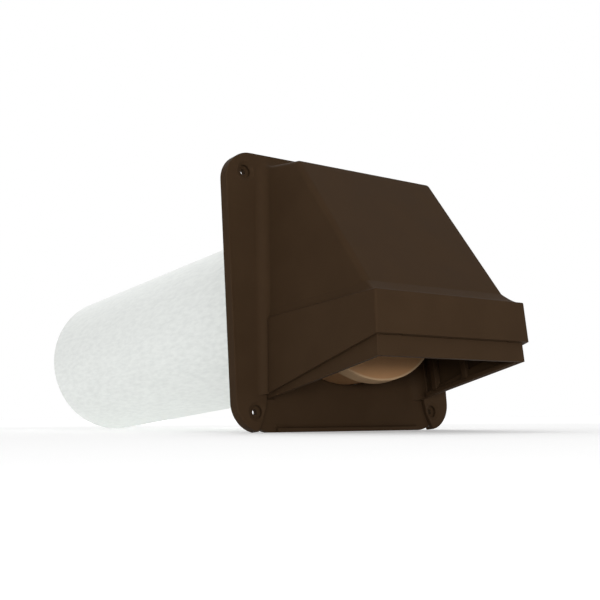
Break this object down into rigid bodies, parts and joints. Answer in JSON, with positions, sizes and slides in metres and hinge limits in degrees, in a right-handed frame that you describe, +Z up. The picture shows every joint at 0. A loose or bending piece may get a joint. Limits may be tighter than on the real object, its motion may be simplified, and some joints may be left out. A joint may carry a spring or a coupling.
{
  "type": "vent hood",
  "caption": "Wide-mouth wall vent hood with a flanged sloping cover, barred base, hinged back-draft damper and a long aluminium tail pipe.",
  "frame": {"origin": "on the tail pipe's axis, in the plane of the wall that the back plate rests on", "axes": "+Y into the wall along the tail pipe, +Z up, +X to the right when facing the hood"},
  "size_m": [0.1524, 0.3714, 0.1524],
  "materials": {
    "brown_plastic": "satin moulded",
    "tan_plastic": "satin moulded",
    "pipe_aluminium": "matte rolled"
  },
  "bodies": {
    "hood": {"hood_cover": "brown_plastic", "base_frame": "brown_plastic", "damper_sleeve": "tan_plastic", "tail_pipe": "pipe_aluminium"},
    "damper": {"damper_flap": "tan_plastic"}
  },
  "joints": [
    {"name": "damper_hinge", "type": "hinge", "parent": "hood", "child": "damper", "pos_m": [0, -0.01581, 0.0494], "axis": [-1, 0, 0], "range_deg": [0, 32]}
  ]
}
